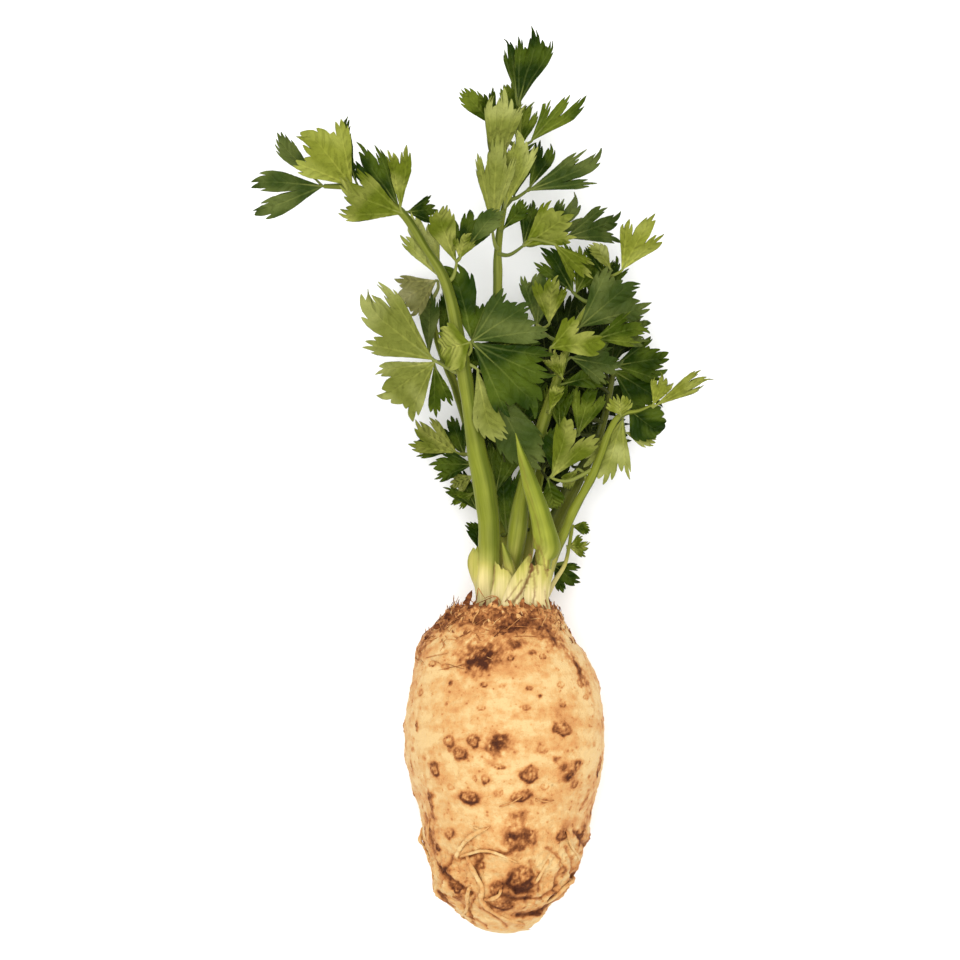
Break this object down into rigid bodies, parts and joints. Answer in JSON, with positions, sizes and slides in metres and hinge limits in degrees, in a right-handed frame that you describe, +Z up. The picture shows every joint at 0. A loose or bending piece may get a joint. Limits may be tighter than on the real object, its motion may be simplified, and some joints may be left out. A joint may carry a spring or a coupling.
{
  "type": "celeriac with leafy stalks",
  "caption": "Celeriac root lying on its side, with its leafy stalks still growing from the crown.",
  "frame": {"origin": "under the middle of the whole vegetable, on the surface that it lies on", "axes": "+Y runs along the vegetable from the root's tail to the leaves, +Z is up from the surface, +X is to the right when seen from above with the leaves away from the viewer"},
  "size_m": [0.2065, 0.4078, 0.0883],
  "materials": {
    "root_skin": "dry corky skin, cream with brown scars",
    "leafy_stem": "soft satin leaf",
    "bare_stalk": "satin ribbed stalk"
  },
  "bodies": {
    "root": {"root": "root_skin", "stem_left": "leafy_stem", "stem_tall": "leafy_stem", "stem_middle": "leafy_stem", "stem_right": "leafy_stem", "stem_back": "leafy_stem", "stem_small": "leafy_stem", "stem_under": "leafy_stem", "stem_low": "leafy_stem", "stalk_cut": "bare_stalk", "stalk_stub": "bare_stalk"}
  },
  "joints": []
}
